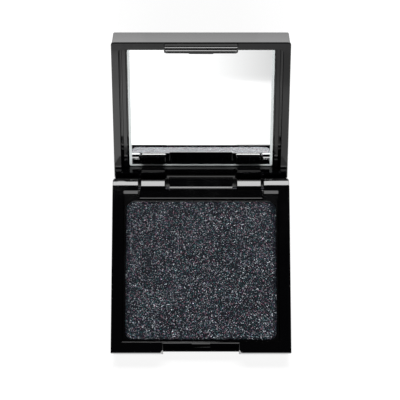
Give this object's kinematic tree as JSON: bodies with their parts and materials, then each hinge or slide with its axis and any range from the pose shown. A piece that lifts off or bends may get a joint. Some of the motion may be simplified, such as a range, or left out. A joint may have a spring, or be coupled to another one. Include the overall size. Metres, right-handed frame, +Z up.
{
  "type": "eyeshadow compact",
  "caption": "Square eyeshadow compact: a shallow base holds a pan of glitter shadow, and a hinged lid holds a mirror and a latch bar that drops into a thumb scoop.",
  "frame": {"origin": "centre of the flat underside of the base, on the surface it rests on", "axes": "+Z up, the front edge with the thumb scoop towards -Y, the hinge along X at the rear"},
  "size_m": [0.046, 0.0761, 0.0385],
  "materials": {
    "case_black": "high-gloss injection moulded, black",
    "insert_black": "gloss black moulding",
    "pan_metal": "drawn sheet, plain",
    "shadow_glitter": "dark slate pressed shadow with fine teal, pink and silver glitter",
    "glue": "translucent adhesive, dull",
    "pin_steel": "drawn wire, blackened",
    "label_paper": "blank, matt",
    "mirror": "polished glass with a narrow bevelled edge",
    "mirror_back": "silver layer with grey protective paint"
  },
  "bodies": {
    "base": {"base_shell": "case_black", "tray_insert": "insert_black", "pan": "pan_metal", "shadow_cake": "shadow_glitter", "pan_glue_pad": "glue", "hinge_pin_left": "pin_steel", "hinge_pin_right": "pin_steel", "bottom_label": "label_paper"},
    "lid": {"lid_shell": "case_black", "mirror_bezel": "insert_black", "mirror_glass": "mirror", "mirror_silvering": "mirror_back", "mirror_tape": "glue"}
  },
  "joints": [
    {"name": "lid_hinge", "type": "hinge", "parent": "base", "child": "lid", "pos_m": [0, 0.02095, 0.0027], "axis": [1, 0, 0], "range_deg": [0, 124.2]}
  ]
}
